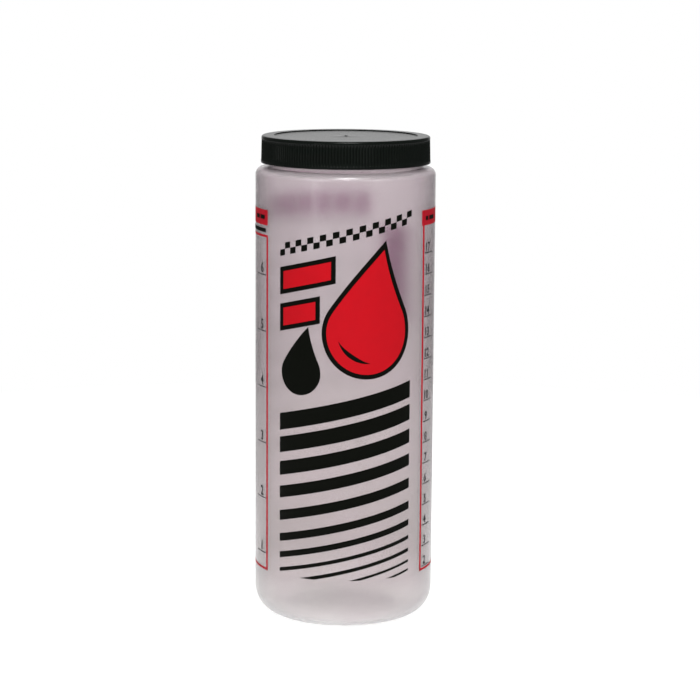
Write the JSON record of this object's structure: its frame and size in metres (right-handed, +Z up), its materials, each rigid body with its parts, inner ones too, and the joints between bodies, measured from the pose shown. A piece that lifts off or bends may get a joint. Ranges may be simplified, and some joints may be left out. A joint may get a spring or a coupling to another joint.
{
  "type": "measuring and mixing bottle",
  "caption": "Straight-sided translucent mixing bottle with a wide threaded mouth, closed by a ribbed black screw cap with a foam liner.",
  "frame": {"origin": "on the surface the bottle stands on, at the centre of its base", "axes": "+Z up along the bottle's axis, -Y towards the printed front, +X to the right of that front"},
  "size_m": [0.0698, 0.0698, 0.1886],
  "materials": {
    "natural_polyethylene": "satin, milky and slightly see-through, blow-moulded",
    "black_polypropylene": "satin, injection-moulded",
    "white_foam": "matt closed-cell foam"
  },
  "bodies": {
    "bottle": {"bottle_body": "natural_polyethylene"},
    "liner": {"cap_liner": "white_foam"},
    "cap": {"screw_cap": "black_polypropylene"}
  },
  "joints": [
    {"name": "cap_lift", "type": "slide", "parent": "bottle", "child": "liner", "axis": [0, 0, 1], "range_m": [0, 0.01271]},
    {"name": "cap_turn", "type": "hinge", "parent": "liner", "child": "cap", "pos_m": [0, 0, 0.1855], "axis": [0, 0, 1], "range_deg": [0, 1080]}
  ],
  "couplings": [
    {"joint": "cap_lift", "follows": "cap_turn", "m_per_rad": 0.00067376}
  ]
}
